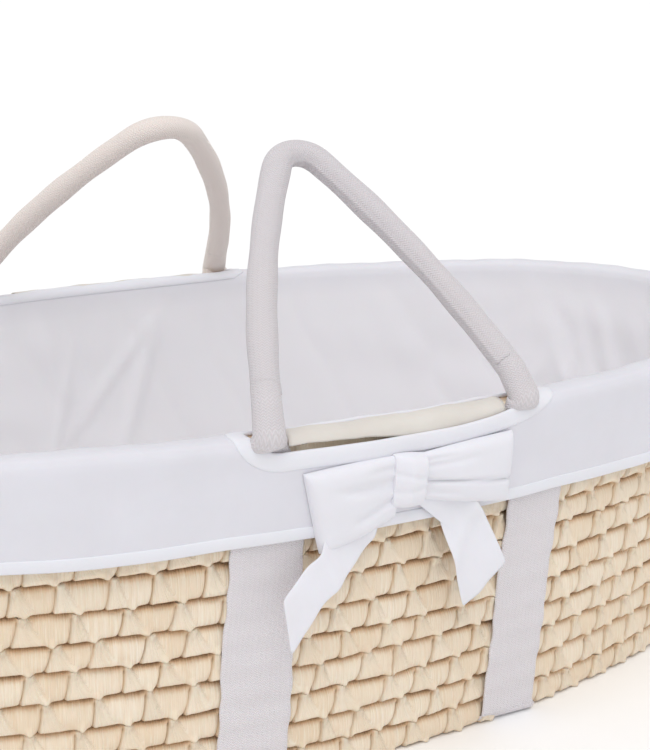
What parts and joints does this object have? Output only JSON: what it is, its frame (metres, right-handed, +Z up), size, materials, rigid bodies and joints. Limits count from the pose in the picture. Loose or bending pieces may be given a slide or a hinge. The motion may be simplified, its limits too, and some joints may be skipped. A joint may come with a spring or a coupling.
{
  "type": "moses basket",
  "caption": "Oval coiled husk baby basket with folded cotton liner, bow, carry straps, two hinged webbing handles and a lift-out mattress.",
  "frame": {"origin": "middle of the basket's flat underside, on the surface it stands on", "axes": "+X along the basket's length, +Z up; the side with the bow faces -Y"},
  "size_m": [0.86, 0.482, 0.3839],
  "materials": {
    "husk": "dry maize husk ribbon, satin fibres",
    "cotton": "plain woven white cotton",
    "bow_cotton": "plain woven white cotton, doubled",
    "facing_tape": "unbleached cotton tape",
    "webbing": "off-white cotton webbing, herringbone",
    "rope_core": "soft cotton cord",
    "mattress_cover": "quilted white cotton",
    "foam": "open-cell foam"
  },
  "bodies": {
    "basket": {"wall_row_01": "husk", "wall_row_02": "husk", "wall_row_03": "husk", "wall_row_04": "husk", "wall_row_05": "husk", "wall_row_06": "husk", "wall_row_07": "husk", "wall_row_08": "husk", "wall_row_09": "husk", "wall_row_10": "husk", "wall_row_11": "husk", "wall_row_12": "husk", "base_rings": "husk", "base_centre_rows": "husk", "liner_wall_and_skirt": "cotton", "liner_floor": "cotton", "hem_binding": "cotton", "slot_binding_front": "cotton", "slot_binding_back": "cotton", "slot_facing_front": "facing_tape", "slot_facing_back": "facing_tape", "carry_strap_left": "webbing", "carry_strap_right": "webbing", "handle_feet_front": "webbing", "handle_feet_back": "webbing", "bow_knot": "bow_cotton", "bow_loops": "bow_cotton", "bow_tails": "bow_cotton"},
    "handle_front": {"handle_sleeve_front": "webbing", "handle_core_front": "rope_core"},
    "handle_back": {"handle_sleeve_back": "webbing", "handle_core_back": "rope_core"},
    "mattress": {"mattress_cover": "mattress_cover", "mattress_foam": "foam"}
  },
  "joints": [
    {"name": "handle_front_hinge", "type": "hinge", "parent": "basket", "child": "handle_front", "pos_m": [0, -0.227, 0.24], "axis": [1, 0, 0], "range_deg": [-40, 170]},
    {"name": "handle_back_hinge", "type": "hinge", "parent": "basket", "child": "handle_back", "pos_m": [0, 0.227, 0.24], "axis": [-1, 0, 0], "range_deg": [-36, 170]},
    {"name": "mattress_lift", "type": "slide", "parent": "basket", "child": "mattress", "axis": [0, 0, 1], "range_m": [0, 0.15]}
  ]
}
